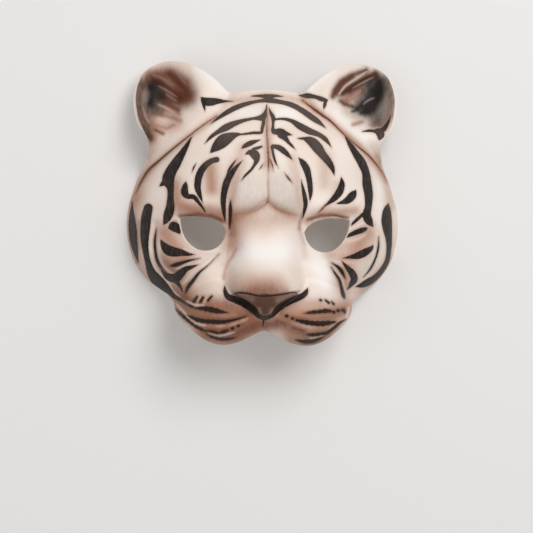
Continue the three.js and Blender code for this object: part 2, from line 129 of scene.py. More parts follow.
# Every crisp brush stroke is a list of (x, y, half width) on the template. Ink makes the charcoal stripes.
INK = [
    [(688, 241, 3), (730, 240, 8), (775, 243, 13), (815, 240, 8), (850, 243, 2)],
    [(775, 262, 15), (840, 272, 12), (900, 288, 14), (950, 315, 15), (1000, 350, 16), (1038, 376, 13),
     (1076, 408, 2)],
    [(775, 262, 13), (720, 268, 9), (660, 282, 12), (600, 304, 14), (545, 335, 12), (505, 362, 7),
     (470, 388, 1)],
    [(768, 284, 3), (762, 318, 7), (748, 350, 17), (700, 358, 8), (650, 368, 10), (600, 384, 15),
     (555, 405, 19), (510, 430, 12), (475, 455, 9), (443, 490, 2)],
    [(750, 345, 12), (750, 380, 10), (743, 412, 9), (740, 430, 8), (700, 433, 8), (660, 438, 6),
     (630, 442, 5)],
    [(640, 440, 3), (608, 443, 12), (575, 455, 24), (540, 474, 34), (510, 500, 27), (488, 521, 14),
     (471, 538, 2)],
    [(636, 514, 3), (652, 502, 11), (680, 488, 14), (708, 478, 9), (734, 470, 2)],
    [(742, 505, 5), (720, 512, 9), (695, 516, 6)],
    [(655, 545, 3), (682, 535, 15), (706, 548, 24), (714, 575, 15), (700, 606, 8), (680, 632, 7),
     (655, 656, 6), (634, 684, 2)],
    [(778, 300, 2), (788, 328, 8), (801, 355, 12), (800, 390, 7), (803, 425, 13), (840, 428, 19),
     (868, 438, 13), (900, 444, 2)],
    [(835, 448, 12), (864, 462, 14), (880, 482, 9), (900, 502, 7), (919, 524, 1)],
    [(805, 364, 5), (850, 360, 7), (895, 370, 11), (940, 398, 18), (990, 424, 18), (1038, 442, 13),
     (1075, 468, 12), (1106, 510, 1)],
    [(797, 502, 9), (830, 510, 15), (860, 531, 15), (884, 555, 9), (904, 576, 1)],
    [(794, 505, 8), (801, 545, 7), (811, 582, 6), (829, 620, 1)],
    [(930, 462, 3), (965, 464, 10), (1000, 478, 24), (1030, 508, 28), (1058, 546, 22), (1088, 582, 19),
     (1110, 618, 13), (1121, 658, 1)],
    [(934, 563, 2), (955, 588, 15), (975, 622, 19), (986, 662, 16), (993, 705, 15), (996, 752, 11),
     (992, 796, 1)],
    [(947, 680, 2), (956, 722, 8), (965, 765, 12), (970, 805, 12), (963, 845, 8), (952, 888, 1)],
    [(644, 575, 1), (612, 608, 9), (580, 650, 16), (558, 692, 19), (545, 742, 17), (540, 792, 15),
     (543, 842, 11), (549, 894, 3)],
    [(613, 566, 1), (592, 594, 6), (571, 625, 7), (554, 658, 1)],
    [(506, 573, 15), (480, 580, 15), (448, 602, 17), (420, 640, 19), (408, 682, 19), (406, 722, 17),
     (418, 760, 11), (433, 800, 1)],
    [(399, 590, 1), (386, 614, 5), (375, 644, 1)],
    [(345, 686, 1), (340, 714, 15), (338, 745, 20), (352, 765, 14), (384, 768, 13), (412, 798, 9),
     (436, 830, 6), (454, 862, 1)],
    [(379, 446, 1), (350, 498, 12), (320, 548, 20), (290, 596, 27), (264, 640, 30), (252, 678, 32),
     (264, 722, 19), (264, 775, 18), (262, 825, 24), (252, 862, 25), (240, 892, 15), (226, 916, 1)],
    [(204, 714, 1), (228, 696, 14), (252, 672, 22)],
    [(148, 826, 24), (138, 870, 27), (132, 930, 26), (129, 990, 22), (134, 1050, 17), (146, 1108, 16),
     (164, 1162, 23), (190, 1200, 30), (220, 1228, 27), (252, 1256, 18), (285, 1289, 12), (318, 1308, 10),
     (345, 1326, 5)],
    [(216, 1150, 4), (250, 1184, 18), (290, 1192, 25), (318, 1168, 22), (345, 1145, 15), (377, 1134, 9),
     (412, 1121, 1)],
    [(290, 1204, 15), (313, 1234, 9), (328, 1266, 3)],
    [(64, 790, 2), (62, 862, 14), (66, 932, 22), (72, 1000, 20), (84, 1062, 12), (96, 1112, 2)],
    [(256, 930, 5), (276, 914, 17), (292, 924, 21), (303, 944, 15), (312, 958, 5)],
    [(257, 931, 6), (282, 941, 10), (308, 955, 6)],
    [(212, 990, 2), (228, 1020, 16), (252, 1046, 27), (286, 1056, 25), (322, 1060, 18), (356, 1068, 10),
     (392, 1070, 1)],
    [(1172, 446, 1), (1205, 498, 13), (1235, 545, 19), (1265, 592, 23), (1285, 642, 21), (1292, 702, 25),
     (1300, 762, 23), (1298, 820, 19), (1290, 862, 23), (1300, 892, 21), (1322, 924, 3)],
    [(1403, 802, 2), (1396, 838, 20), (1394, 888, 28), (1398, 934, 25), (1405, 985, 18), (1406, 1040, 14),
     (1396, 1102, 13), (1370, 1150, 14), (1331, 1192, 16), (1295, 1215, 19), (1262, 1230, 13),
     (1231, 1238, 2)],
    [(1157, 662, 1), (1160, 700, 15), (1150, 736, 20), (1126, 770, 17), (1096, 796, 10), (1064, 820, 1)],
    [(1232, 736, 5), (1214, 762, 21), (1192, 784, 19), (1160, 797, 10), (1124, 804, 1)],
    [(1280, 848, 8), (1262, 866, 9), (1240, 886, 9), (1218, 906, 7), (1206, 919, 2)],
    [(1293, 930, 3), (1284, 935, 9), (1266, 942, 14), (1240, 951, 14), (1214, 962, 12), (1190, 973, 8),
     (1170, 986, 1)],
    [(1323, 1022, 3), (1314, 1035, 11), (1297, 1048, 17), (1270, 1064, 21), (1240, 1076, 18),
     (1205, 1082, 10), (1161, 1089, 1)],
    [(1158, 1102, 2), (1188, 1138, 12), (1214, 1168, 19), (1224, 1198, 19), (1208, 1226, 12),
     (1188, 1254, 2)],
    [(547, 1234, 3), (550, 1264, 11), (565, 1290, 16), (600, 1304, 19), (640, 1320, 21), (676, 1341, 21),
     (702, 1363, 19), (722, 1387, 14), (750, 1404, 11)],
    [(981, 1246, 3), (971, 1268, 13), (952, 1286, 16), (915, 1303, 17), (872, 1321, 18), (840, 1341, 19),
     (816, 1364, 16), (796, 1386, 12), (772, 1399, 11), (750, 1404, 11)],
    [(728, 1396, 8), (760, 1400, 12), (795, 1392, 8)],
    [(751, 1404, 8), (749, 1426, 5), (747, 1448, 2)],
    [(426, 250, 5), (445, 268, 20), (472, 271, 22), (507, 268, 16), (545, 268, 8), (593, 268, 1)],
    [(431, 262, 9), (439, 290, 9), (444, 322, 1)],
    [(932, 236, 1), (952, 239, 8), (978, 239, 14), (1020, 245, 11), (1056, 257, 13), (1080, 263, 8)],
    [(1076, 262, 9), (1070, 288, 9), (1064, 314, 1)],
    [(1268, 426, 3), (1300, 422, 7), (1330, 424, 9), (1352, 428, 19), (1362, 440, 22), (1356, 468, 5)],
    [(1356, 430, 18), (1382, 410, 13), (1404, 374, 7), (1416, 338, 1)],
]
# Dark brown: the creases round the nose and cheeks, and single whisker dots.
SEPIA = [
    [(338, 1322, 8), (360, 1334, 7), (380, 1343, 7)],
    [(524, 1478, 5), (542, 1473, 9), (562, 1465, 6)],
    [(586, 1457, 8), (590, 1455, 8)],
    [(616, 1444, 7), (620, 1442, 7)],
    [(403, 1290, 6), (386, 1315, 8)],
    [(434, 1294, 7), (420, 1316, 8)],
    [(480, 1287, 5), (460, 1309, 7)],
    [(1115, 1370, 8), (1119, 1371, 9)],
    [(1139, 1363, 9), (1143, 1363, 9)],
    [(1164, 1359, 9), (1170, 1362, 10), (1175, 1372, 5)],
    [(870, 1390, 9), (874, 1391, 8)],
    [(900, 1404, 7), (904, 1406, 6)],
    [(1180, 1408, 2), (1148, 1427, 7), (1114, 1456, 9), (1080, 1480, 9), (1060, 1488, 3)],
    [(918, 1515, 2), (957, 1524, 10), (1005, 1523, 11), (1040, 1511, 8), (1066, 1496, 1)],
    [(1047, 1307, 6), (1051, 1309, 6)],
    [(1074, 1308, 5), (1092, 1322, 7)],
    [(1106, 1316, 4), (1117, 1329, 6)],
    [(590, 1279, 2), (618, 1270, 4), (660, 1272, 5), (702, 1281, 5), (750, 1288, 5), (808, 1283, 5),
     (856, 1276, 5), (897, 1269, 4), (917, 1268, 3), (928, 1279, 2)],
    [(262, 1128, 3), (290, 1124, 11), (323, 1113, 9), (363, 1101, 6), (420, 1088, 1)],
    [(518, 1066, 1), (457, 1128, 3), (417, 1161, 6), (383, 1204, 9), (357, 1238, 10), (342, 1270, 4)],
    [(190, 936, 2), (182, 1001, 7), (185, 1051, 7), (193, 1094, 8), (211, 1131, 8), (242, 1170, 6)],
    [(1104, 1134, 1), (1122, 1164, 5), (1146, 1200, 7), (1157, 1239, 8), (1168, 1282, 10), (1174, 1296, 5)],
    [(1108, 1113, 2), (1134, 1130, 7), (1158, 1156, 10), (1178, 1195, 2)],
    [(1353, 978, 1), (1351, 1030, 5), (1338, 1084, 5), (1308, 1146, 5), (1274, 1188, 1)],
    [(578, 786, 2), (577, 820, 9), (576, 870, 9), (573, 934, 3)],
    [(757, 1340, 0), (758, 1364, 2), (758, 1384, 2)],
]
# Whisker dots that run together in rows: the stroke swells and narrows by this share at this pitch.
BEAD_PITCH, BEAD_SHARE = 28, 0.12
WHISKERS = [
    [(394, 1350, 5), (424, 1351, 10), (455, 1354, 15), (490, 1361, 16), (524, 1368, 11), (568, 1374, 1)],
    [(352, 1388, 2), (377, 1398, 9), (404, 1410, 12), (442, 1417, 12), (490, 1421, 13), (540, 1422, 11),
     (578, 1415, 8), (606, 1409, 6), (636, 1400, 5), (668, 1388, 1)],
    [(452, 1465, 3), (489, 1473, 8), (514, 1480, 5)],
    [(294, 1356, 3), (320, 1382, 9), (353, 1412, 9), (387, 1439, 9), (421, 1458, 9), (450, 1472, 4)],
    [(454, 1486, 2), (482, 1500, 8), (523, 1511, 9), (564, 1511, 9), (608, 1503, 2)],
    [(960, 1378, 1), (995, 1373, 9), (1046, 1368, 11), (1084, 1364, 12), (1104, 1366, 7)],
    [(922, 1413, 6), (964, 1422, 13), (1012, 1429, 14), (1056, 1431, 15), (1088, 1427, 13),
     (1126, 1422, 5)],
    [(980, 1487, 4), (1005, 1489, 9), (1046, 1485, 9), (1080, 1476, 5)],
]
# Thin brown lines, most of them along creases; the ones along the upper lids are painted shadow under the
# brows.
RUST = [
    [(768, 300, 2), (770, 360, 4), (768, 420, 4), (771, 480, 5), (774, 540, 5), (776, 600, 5),
     (775, 646, 1)],
    [(780, 560, 2), (796, 600, 5), (802, 634, 1)],
    [(748, 596, 2), (738, 612, 5), (728, 626, 1)],
    [(772, 640, 1), (773, 720, 2), (771, 792, 2), (740, 818, 2), (704, 840, 2), (650, 862, 1)],
    [(771, 792, 2), (800, 818, 2), (840, 844, 2), (890, 862, 1)],
    [(505, 346, 3), (430, 396, 4), (340, 466, 5), (265, 526, 6), (200, 582, 7), (148, 630, 8),
     (110, 690, 6), (82, 752, 3)],
    [(953, 262, 3), (1002, 300, 6), (1056, 340, 7), (1097, 368, 6), (1160, 430, 5), (1216, 482, 5),
     (1300, 552, 5), (1345, 604, 4), (1394, 680, 1)],
    # Painted shadow under the left brow, along the upper lid.
    [(312, 868, 1), (345, 866, 4), (372, 865, 4), (424, 872, 4), (472, 880, 1)],
    [(858, 640, 1), (880, 670, 7), (904, 699, 1)],
    [(1074, 812, 6), (1050, 838, 5), (1030, 862, 1)],
    # Painted shadow under the right brow, along the upper lid.
    [(1060, 868, 1), (1105, 864, 3), (1140, 867, 4), (1166, 874, 4), (1188, 880, 1)],
]
# The leather-brown tip of the nose.
LEATHER = [
    [(600, 1281, 5), (640, 1291, 14), (700, 1305, 24), (760, 1314, 30), (830, 1305, 24), (890, 1289, 14),
     (928, 1278, 5)],
    [(758, 1330, 60), (758, 1352, 46), (758, 1380, 34)],
    [(650, 1300, 14), (700, 1332, 16), (732, 1370, 14)],
    [(880, 1300, 14), (820, 1332, 16), (780, 1370, 14)],
]

# Soft airbrush strokes, some of them painted shade: (x, y) path, half width, strength. Tan washes come first.
TAN = [
    ([(150, 440), (140, 600), (75, 780)], 48, 0.4),
    ([(75, 780), (62, 1000), (110, 1150), (200, 1260), (290, 1320)], 50, 0.6),
    ([(1345, 560), (1400, 700), (1420, 820)], 26, 0.45),
    ([(1425, 1100), (1380, 1170), (1270, 1260)], 34, 0.45),
    ([(285, 700), (300, 800), (400, 850), (520, 880)], 42, 0.85),
    # This and the next: painted shade along the upper lids, under the brows.
    ([(320, 840), (400, 825), (480, 830), (535, 860)], 34, 0.5),
    ([(1230, 840), (1120, 850), (1020, 870), (980, 895)], 30, 0.65),
    ([(235, 960), (280, 1020), (330, 1090)], 62, 0.85),
    ([(240, 1120), (310, 1180), (330, 1260)], 54, 0.8),
    ([(1290, 960), (1240, 1040), (1190, 1110), (1170, 1220)], 54, 0.75),
    ([(1085, 1062), (1150, 1035), (1230, 1010)], 34, 0.45),
    ([(890, 1350), (960, 1330), (1040, 1325)], 36, 0.5),
    (EAR_SIDE_RIGHT, 34, 0.5),
    # Painted shade on the nose's left flank, turned from the light.
    ([(588, 870), (592, 950), (586, 1010)], 58, 0.78),
    ([(606, 1040), (590, 1075), (565, 1110), (548, 1154), (540, 1195)], 9, 0.6),
    # Painted shade lower on the nose's left flank.
    ([(585, 1010), (570, 1060), (552, 1120)], 22, 0.25),
    ([(650, 885), (760, 900), (860, 875)], 60, 0.45),
    # The next three: tan round the lower lip, airbrush deepened by painted shade under the muzzle.
    ([(430, 1492), (540, 1532), (630, 1505)], 40, 0.85),
    ([(900, 1515), (1000, 1545), (1090, 1505)], 40, 0.8),
    ([(690, 1410), (750, 1440), (820, 1410)], 50, 0.8),
    ([(610, 600), (600, 680), (585, 780)], 22, 0.4),
    ([(1130, 700), (1110, 780), (1050, 850)], 22, 0.3),
    ([(930, 880), (945, 960), (965, 1080)], 22, 0.25),
    ([(600, 1240), (680, 1248), (770, 1250)], 46, 0.6),
    ([(705, 1248), (830, 1250)], 64, 0.72),
    ([(600, 1190), (760, 1185), (820, 1195)], 36, 0.22),
    ([(1105, 1080), (1160, 1086)], 26, 0.4),
    # The next five: tan over the whisker pads, airbrush deepened by painted shade under the muzzle.
    ([(330, 1315), (440, 1336), (560, 1350), (680, 1400)], 54, 1.0),
    ([(360, 1370), (560, 1430), (690, 1430)], 60, 1.0),
    ([(430, 1450), (560, 1480), (680, 1450)], 60, 1.0),
    ([(1180, 1350), (1080, 1380), (960, 1390), (850, 1400)], 62, 0.95),
    ([(900, 1470), (1000, 1490), (1110, 1440)], 54, 0.85),
    ([(770, 330), (772, 460), (772, 600)], 30, 0.6),
    ([(600, 880), (700, 840), (770, 805), (840, 840), (910, 870)], 24, 0.6),
    ([(472, 618), (480, 725)], 42, 0.85),
    ([(640, 520), (600, 620), (560, 780)], 34, 0.4),
    ([(1075, 560), (1070, 700)], 40, 0.42),
    ([(900, 560), (930, 680), (940, 820)], 30, 0.35),
    ([(505, 346), (340, 466), (200, 582), (110, 690), (70, 800)], 20, 0.5),
    ([(960, 262), (1100, 370), (1250, 500), (1345, 604), (1396, 684)], 20, 0.7),
    ([(150, 470), (215, 420), (290, 385)], 40, 0.6),
    ([(160, 145), (250, 130), (335, 175), (360, 240), (270, 260), (190, 210)], 46, 0.97),
    (EAR_SIDE_LEFT, 30, 0.6),
    ([(185, 334), (248, 345), (315, 369)], 14, 0.85),
    ([(185, 394), (248, 411), (283, 390)], 9, 0.7),
    ([(210, 170), (300, 215)], 44, 0.95),
    ([(232, 308), (305, 338)], 16, 0.85),
    ([(150, 330), (175, 400)], 34, 0.7),
    ([(290, 300), (240, 340), (180, 360)], 36, 0.35),
    ([(230, 70), (300, 76), (360, 110)], 22, 0.15),
    ([(90, 180), (80, 280), (110, 400)], 14, 0.6),
    ([(1181, 264), (1265, 215)], 22, 1.0),
    ([(1219, 390), (1265, 376)], 12, 0.8),
    ([(1180, 320), (1240, 350)], 24, 0.3),
    ([(590, 270), (700, 250), (770, 235), (860, 245), (950, 265)], 18, 0.4),
    ([(380, 1100), (430, 1230)], 50, 0.22),
    ([(350, 1270), (420, 1310)], 36, 0.4),
]
# Brown over the tan, some of it painted shade.
BROWN = [
    ([(155, 145), (210, 128), (290, 130), (350, 170), (372, 215), (362, 255)], 38, 0.45),
    ([(180, 150), (250, 148), (330, 190), (350, 240), (270, 250), (200, 210)], 44, 0.55),
    (EAR_SIDE_LEFT, 30, 0.45),
    ([(262, 122), (300, 155), (335, 200), (350, 235)], 26, 0.8),
    ([(199, 168), (262, 207), (318, 242)], 17, 0.9),
    ([(180, 170), (200, 240), (270, 255), (320, 262)], 40, 0.85),
    ([(234, 278), (304, 313)], 16, 0.85),
    ([(225, 165), (300, 220)], 34, 0.45),
    ([(175, 300), (215, 320)], 28, 0.65),
    ([(115, 400), (140, 450)], 16, 0.6),
    ([(130, 330), (150, 400)], 26, 0.3),
    ([(185, 418), (225, 438)], 11, 0.85),
    ([(150, 430), (168, 470)], 12, 0.6),
    ([(1112, 243), (1125, 208), (1160, 162), (1230, 126), (1286, 106)], 18, 0.95),
    ([(1130, 225), (1160, 180), (1210, 145)], 22, 0.9),
    ([(1165, 226), (1230, 180), (1335, 122)], 20, 1.0),
    ([(1200, 215), (1280, 165), (1340, 140)], 28, 0.95),
    ([(1160, 215), (1190, 180)], 26, 0.7),
    ([(1240, 265), (1280, 235)], 20, 0.6),
    ([(1153, 266), (1172, 282), (1215, 296)], 15, 0.9),
    ([(1020, 318), (1050, 330)], 12, 0.3),
    ([(640, 1266), (760, 1266), (860, 1266)], 26, 0.45),
    ([(720, 1250), (790, 1250)], 44, 0.34),
    # Painted shade on the nose's left flank, beside the eye.
    ([(582, 890), (586, 960)], 25, 0.5),
    ([(560, 1320), (620, 1350), (690, 1395)], 30, 0.3),
    # The next three: brown on the lower muzzle, airbrush and painted shade.
    ([(330, 1340), (470, 1380), (640, 1430)], 46, 0.42),
    ([(480, 1310), (560, 1330), (640, 1370)], 36, 0.3),
    ([(460, 1480), (600, 1490), (700, 1450)], 34, 0.6),
    ([(330, 1290), (410, 1322)], 14, 0.4),
    ([(880, 1410), (1040, 1400), (1160, 1370)], 30, 0.3),
    ([(215, 1080), (250, 1130), (290, 1152)], 36, 0.36),
    ([(825, 1415), (862, 1432)], 8, 0.4),
    ([(905, 1453), (965, 1468)], 8, 0.6),
    ([(952, 850), (939, 905), (937, 935)], 9, 0.45),
    ([(938, 935), (950, 980), (968, 1020)], 9, 0.2),
    # The next two: brown on the lower muzzle, airbrush and painted shade.
    ([(820, 1430), (900, 1450), (980, 1490), (1060, 1490)], 28, 0.5),
    ([(700, 1440), (750, 1430), (810, 1440)], 24, 0.35),
    ([(200, 582), (148, 630), (100, 710)], 9, 0.4),
    ([(1100, 1120), (1170, 1240)], 20, 0.3),
    ([(280, 1240), (340, 1300)], 30, 0.5),
    # This and the next: painted shadow under the brows, along the upper lids.
    ([(312, 868), (400, 858), (480, 868), (545, 896)], 11, 0.85),
    ([(985, 886), (1050, 866), (1120, 862), (1190, 876)], 10, 0.8),
    ([(100, 900), (95, 1040)], 14, 0.4),
]
# Near black: deep in the ears, faint beside the bridge and on one cheek.
SHADE = [
    ([(690, 700), (680, 790)], 74, 0.19),
    ([(850, 700), (865, 790)], 74, 0.21),
    ([(165, 195), (178, 228), (158, 280)], 40, 1.0),
    ([(190, 200), (215, 245)], 36, 0.85),
    ([(175, 285), (205, 300)], 30, 0.5),
    ([(1170, 190), (1250, 150)], 50, 0.15),
    ([(1300, 190), (1318, 250), (1290, 300)], 44, 0.85),
    ([(1372, 200), (1372, 260), (1345, 320)], 32, 0.45),
    ([(1290, 335), (1340, 350)], 28, 0.5),
    (EAR_SIDE_LEFT, 34, 0.6),
    ([(150, 320), (180, 330)], 26, 0.45),
    ([(1355, 168), (1358, 205), (1345, 245), (1315, 285), (1288, 312)], 40, 1.0),
    ([(1345, 190), (1330, 250), (1300, 290)], 34, 0.9),
    ([(1320, 215), (1290, 262), (1240, 305)], 24, 0.95),
    ([(1350, 230), (1320, 310)], 30, 0.9),
    ([(1215, 322), (1245, 312)], 9, 0.8),
    ([(1260, 330), (1300, 318)], 12, 0.8),
    (EAR_SIDE_RIGHT, 34, 0.62),
    ([(1370, 320), (1350, 370)], 26, 0.5),
    ([(70, 870), (62, 1000), (90, 1110)], 12, 0.4),
]
# Pale hairs, and painted highlights along raised ridges, that run out to a point.
PALE_HAIRS_AND_HIGHLIGHTS = [
    ([(220, 920), (244, 903), (272, 882), (294, 878), (305, 900), (318, 952)], 8, 1.0),
    ([(200, 931), (193, 998), (200, 1071), (223, 1124), (262, 1162), (290, 1174)], 8, 0.7),
    ([(163, 1094), (183, 1144), (217, 1181), (253, 1218), (277, 1261), (317, 1293)], 7, 0.8),
    ([(450, 1075), (390, 1096), (330, 1132), (290, 1144)], 9, 0.7),
    ([(490, 1076), (432, 1110), (388, 1150), (352, 1196), (322, 1228)], 10, 0.7),
    ([(330, 1040), (380, 1052), (430, 1066), (500, 1066)], 10, 0.8),
    ([(346, 1312), (387, 1332), (441, 1334)], 8, 0.8),
    ([(421, 1288), (404, 1322)], 5, 0.7),
    ([(456, 1290), (438, 1322)], 5, 0.7),
    ([(292, 1324), (333, 1370), (367, 1412), (401, 1432), (450, 1441)], 8, 0.7),
    ([(500, 1446), (550, 1440)], 7, 0.3),
    ([(462, 1481), (503, 1494), (545, 1490), (600, 1475)], 7, 0.7),
    ([(570, 1440), (625, 1422), (670, 1404)], 9, 0.28),
    ([(990, 1507), (1040, 1503), (1062, 1492)], 7, 0.8),
    ([(1086, 1464), (1110, 1450), (1132, 1434)], 7, 0.9),
    ([(1196, 1341), (1192, 1370), (1182, 1402)], 9, 0.7),
    ([(1121, 1150), (1160, 1198), (1172, 1240), (1180, 1270)], 7, 0.8),
    ([(1140, 1104), (1190, 1110), (1260, 1108), (1320, 1076)], 9, 0.6),
    ([(1190, 922), (1230, 918), (1262, 898), (1292, 900), (1318, 928)], 8, 0.9),
    ([(1180, 1000), (1230, 992), (1290, 962)], 9, 0.6),
    ([(1190, 1262), (1220, 1236), (1240, 1222)], 6, 0.8),
    ([(563, 790), (561, 900)], 6, 0.9),
    ([(1139, 238), (1177, 190), (1230, 152), (1293, 110)], 6, 0.9),
    ([(425, 800), (450, 856)], 6, 0.5),
    ([(170, 128), (230, 152), (284, 190)], 11, 0.12),
    ([(199, 186), (262, 222), (300, 246)], 6, 0.22),
    ([(288, 112), (320, 150), (352, 186)], 5, 0.15),
    ([(241, 229), (297, 268)], 8, 0.2),
    ([(200, 284), (269, 320), (311, 352)], 7, 0.4),
    ([(190, 356), (250, 372), (300, 384)], 8, 0.4),
    ([(120, 300), (135, 350), (160, 385)], 7, 0.25),
    ([(1190, 262), (1230, 236), (1262, 212)], 8, 0.3),
    ([(1270, 285), (1300, 262), (1330, 250)], 5, 0.3),
    ([(1215, 200), (1270, 170), (1330, 140)], 5, 0.3),
]
# Where the ink is paler, and painted highlights on the nose's leather.
PALER_INK_AND_HIGHLIGHTS = [
    ([(560, 430), (640, 330), (775, 255), (900, 300), (1030, 400)], 90, 0.7),
    ([(1350, 428), (1372, 438)], 40, 0.5),
    ([(960, 240), (1060, 256)], 30, 0.4),
    ([(740, 380), (800, 480), (700, 540)], 70, 0.6),
    ([(1060, 550), (1040, 500)], 60, 0.5),
    ([(500, 575), (470, 590)], 40, 0.5),
    ([(630, 1282), (690, 1304)], 15, 0.55),
    ([(905, 1280), (830, 1308)], 17, 0.7),
    ([(727, 1352), (733, 1372)], 8, 0.7),
    ([(796, 1356), (788, 1374)], 9, 0.7),
]
# Painted highlights: pale patches where the light falls, under all the other paint.
PAINTED_HIGHLIGHTS = [
    ([(640, 320), (700, 330), (860, 330)], 46, 0.6),
    ([(560, 330), (480, 420)], 26, 0.3),
    ([(640, 1050), (760, 1060), (860, 1050)], 70, 0.8),
    ([(615, 1080), (605, 1120)], 26, 0.35),
    ([(1040, 1130), (1080, 1230)], 60, 0.8),
    ([(420, 90), (490, 160), (540, 220)], 34, 0.6),
    ([(1090, 110), (1000, 190)], 30, 0.5),
    ([(1140, 330), (1200, 390), (1270, 460)], 30, 0.6),
    ([(1350, 700), (1360, 900)], 26, 0.5),
    ([(1330, 640), (1370, 760)], 24, 0.4),
    ([(900, 340), (1000, 420)], 36, 0.5),
]

# Fine relief that only the skin has: (x, y) path on the template, height or depth in millimetres, half width.
RELIEF = [
    ([(768, 640), (771, 790)], -0.9, 7),
    ([(771, 790), (700, 838), (640, 862), (590, 872)], -0.9, 8),
    ([(771, 790), (820, 836), (870, 858), (915, 868)], -0.9, 8),
    ([(590, 1272), (640, 1277), (760, 1287), (890, 1276), (936, 1268)], -0.9, 7),
    ([(590, 1258), (640, 1262), (760, 1270), (890, 1261), (936, 1254)], 0.5, 9),
    ([(190, 928), (185, 1000), (188, 1060), (200, 1120), (220, 1176)], -0.8, 7),
    ([(204, 920), (200, 1000), (203, 1060), (216, 1120), (238, 1176)], 0.6, 7),
    ([(1355, 976), (1353, 1030), (1341, 1090), (1312, 1148), (1276, 1190)], -0.8, 7),
    ([(1342, 970), (1338, 1030), (1325, 1088), (1296, 1146), (1260, 1188)], 0.6, 7),
    ([(225, 915), (262, 890), (296, 882), (312, 915), (322, 952)], 0.8, 7),
    ([(338, 1266), (360, 1226), (395, 1182), (440, 1142), (505, 1088)], -0.7, 9),
    ([(322, 1250), (344, 1212), (380, 1168), (424, 1128), (480, 1080)], 0.5, 8),
    ([(240, 1100), (300, 1092), (360, 1088), (420, 1075)], 0.5, 8),
    ([(268, 1134), (310, 1119), (350, 1106), (418, 1092)], -0.5, 8),
    ([(1110, 1112), (1140, 1150), (1160, 1192), (1170, 1242), (1180, 1292)], -0.7, 9),
    ([(1140, 1108), (1170, 1148), (1188, 1192), (1190, 1240)], 0.5, 8),
    ([(1120, 1100), (1180, 1108), (1260, 1100), (1330, 1060)], 0.5, 8),
    ([(1200, 940), (1240, 925), (1290, 905)], 0.5, 7),
    ([(270, 1200), (300, 1250), (345, 1290), (440, 1330), (560, 1362)], 0.5, 8),
    ([(292, 1308), (380, 1346), (440, 1352), (556, 1378)], -0.5, 10),
    ([(330, 1362), (400, 1380), (500, 1398), (600, 1392)], 0.6, 9),
    ([(345, 1384), (450, 1418), (570, 1420), (642, 1398)], -0.5, 10),
    ([(380, 1428), (450, 1448), (560, 1450), (640, 1420)], 0.6, 9),
    ([(432, 1466), (540, 1478), (642, 1436)], -0.5, 9),
    ([(955, 1376), (1060, 1365), (1182, 1354)], -0.5, 10),
    ([(900, 1388), (1000, 1398), (1100, 1390), (1190, 1372)], 0.6, 9),
    ([(900, 1404), (1010, 1430), (1130, 1408)], -0.5, 10),
    ([(890, 1430), (980, 1452), (1080, 1450), (1160, 1410)], 0.6, 9),
    ([(505, 352), (340, 474), (200, 590), (120, 690)], -0.6, 9),
    ([(960, 268), (1100, 378), (1250, 508), (1340, 610)], -0.6, 9),
    ([(575, 900), (565, 1000), (552, 1100)], -0.5, 9),
    ([(592, 560), (560, 640), (535, 720)], 0.4, 8),
    ([(640, 560), (600, 640), (590, 720)], 0.4, 9),
    ([(745, 470), (752, 560), (745, 620)], 0.5, 10),
    ([(795, 470), (790, 560), (796, 620)], 0.5, 10),
    ([(770, 320), (771, 470), (773, 600)], -0.5, 6),
    ([(1140, 215), (1200, 160), (1275, 110)], 0.7, 9),
    ([(1150, 250), (1220, 195), (1300, 140)], -0.5, 8),
    ([(1170, 280), (1230, 230), (1290, 180)], 0.5, 8),
    ([(180, 170), (250, 240), (310, 290)], -0.5, 9),
    ([(210, 150), (280, 215), (340, 260)], 0.5, 8),
    ([(250, 130), (310, 190), (360, 230)], -0.4, 8),
]
LIP_HEIGHT, LIP_HALF_WIDTH = 0.7, 1.6  # the raised lip round an eye hole, in millimetres

# How strokes are followed: points to a span, how far off they are measured, and how a ridge thins out.
OUTLINE_SPAN, STROKE_SPAN, BEAD_SPAN = 60, 6, 12
STROKE_REACH, RIDGE_REACH = 60, 40
RIDGE_SPREAD, RIDGE_FAR, RIDGE_TIP = 4, 9.0, 0.1

# The mesh: steps along the edges and between the points of the skin, on the chart, in millimetres.
EDGE_STEP = 0.95
FACE_STEP = 0.8
BACK_STEP = 2.4
CHART_SPREAD, CHART_POWER, CHART_TURNS = 0.35, 4, 12
CHART_WIDTH, CHART_HALF_HEIGHT = 200, 150
ROW_PITCH = 0.866  # the height of a triangle with even sides
EDGE_CLEAR = 0.62  # points nearer to an edge than this share of a step are left out
RIGHT, LEFT = -1, 1  # the sign that turns a cut edge's roundness outwards
SAME_POINT = 1e-7
ON_MIDDLE = 1e-6
EDGE_ROUND = [(0.3, 0.25), (0.5, 0.8), (0.55, 1.5), (0.5, 2.2), (0.3, 2.75)]  # how far out, at which depth
NORMAL_REACH = 1.2  # the sheet's inner side follows the face's slope over this distance
RIM_CLEAR = 1.5  # slopes are taken at least this many reaches inside the outline
LEVEL_BELOW = 10  # under this height the sheet's thickness turns level, so that the rims stand on the table


def smooth_step(low, high, value):
    t = np.clip((value - low) / (high - low), 0, 1)
    return t * t * (3 - 2 * t)


def smooth_max(a, b, blend):
    overlap = np.maximum(blend - np.abs(a - b), 0) / blend
    return np.maximum(a, b) + overlap * overlap * blend / 4


